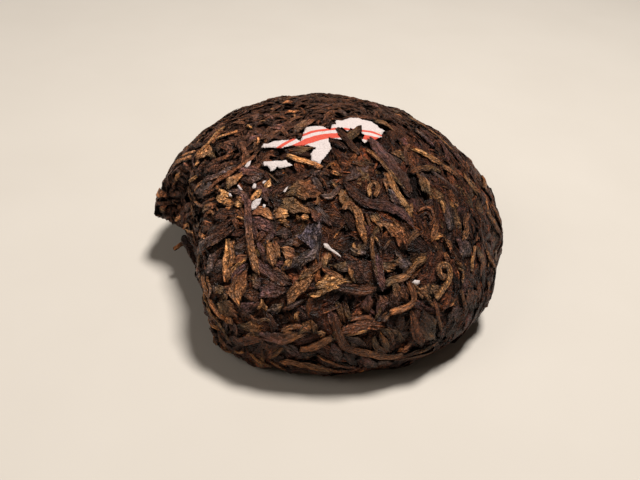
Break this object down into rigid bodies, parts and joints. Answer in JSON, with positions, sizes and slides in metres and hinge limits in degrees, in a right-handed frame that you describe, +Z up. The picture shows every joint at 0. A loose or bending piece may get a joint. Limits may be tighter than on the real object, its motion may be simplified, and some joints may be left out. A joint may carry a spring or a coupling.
{
  "type": "pressed tea nest",
  "caption": "Domed nest of dark pressed tea leaves with a hollow underneath, a piece broken out of its rim and torn paper pressed into its crown.",
  "frame": {"origin": "on the surface that the nest rests on, under the middle of its outline", "axes": "+Z up through the dome; the picture is taken from -Y, looking along +Y and down; the broken rim is at -X"},
  "size_m": [0.084, 0.083, 0.0397],
  "materials": {
    "tea": "matt pressed dark tea leaf",
    "ticket_paper": "thin matt paper, torn"
  },
  "bodies": {
    "root": {"pressed_tea": "tea", "ticket_main": "ticket_paper", "ticket_scrap": "ticket_paper", "ticket_fleck": "ticket_paper"}
  },
  "joints": []
}
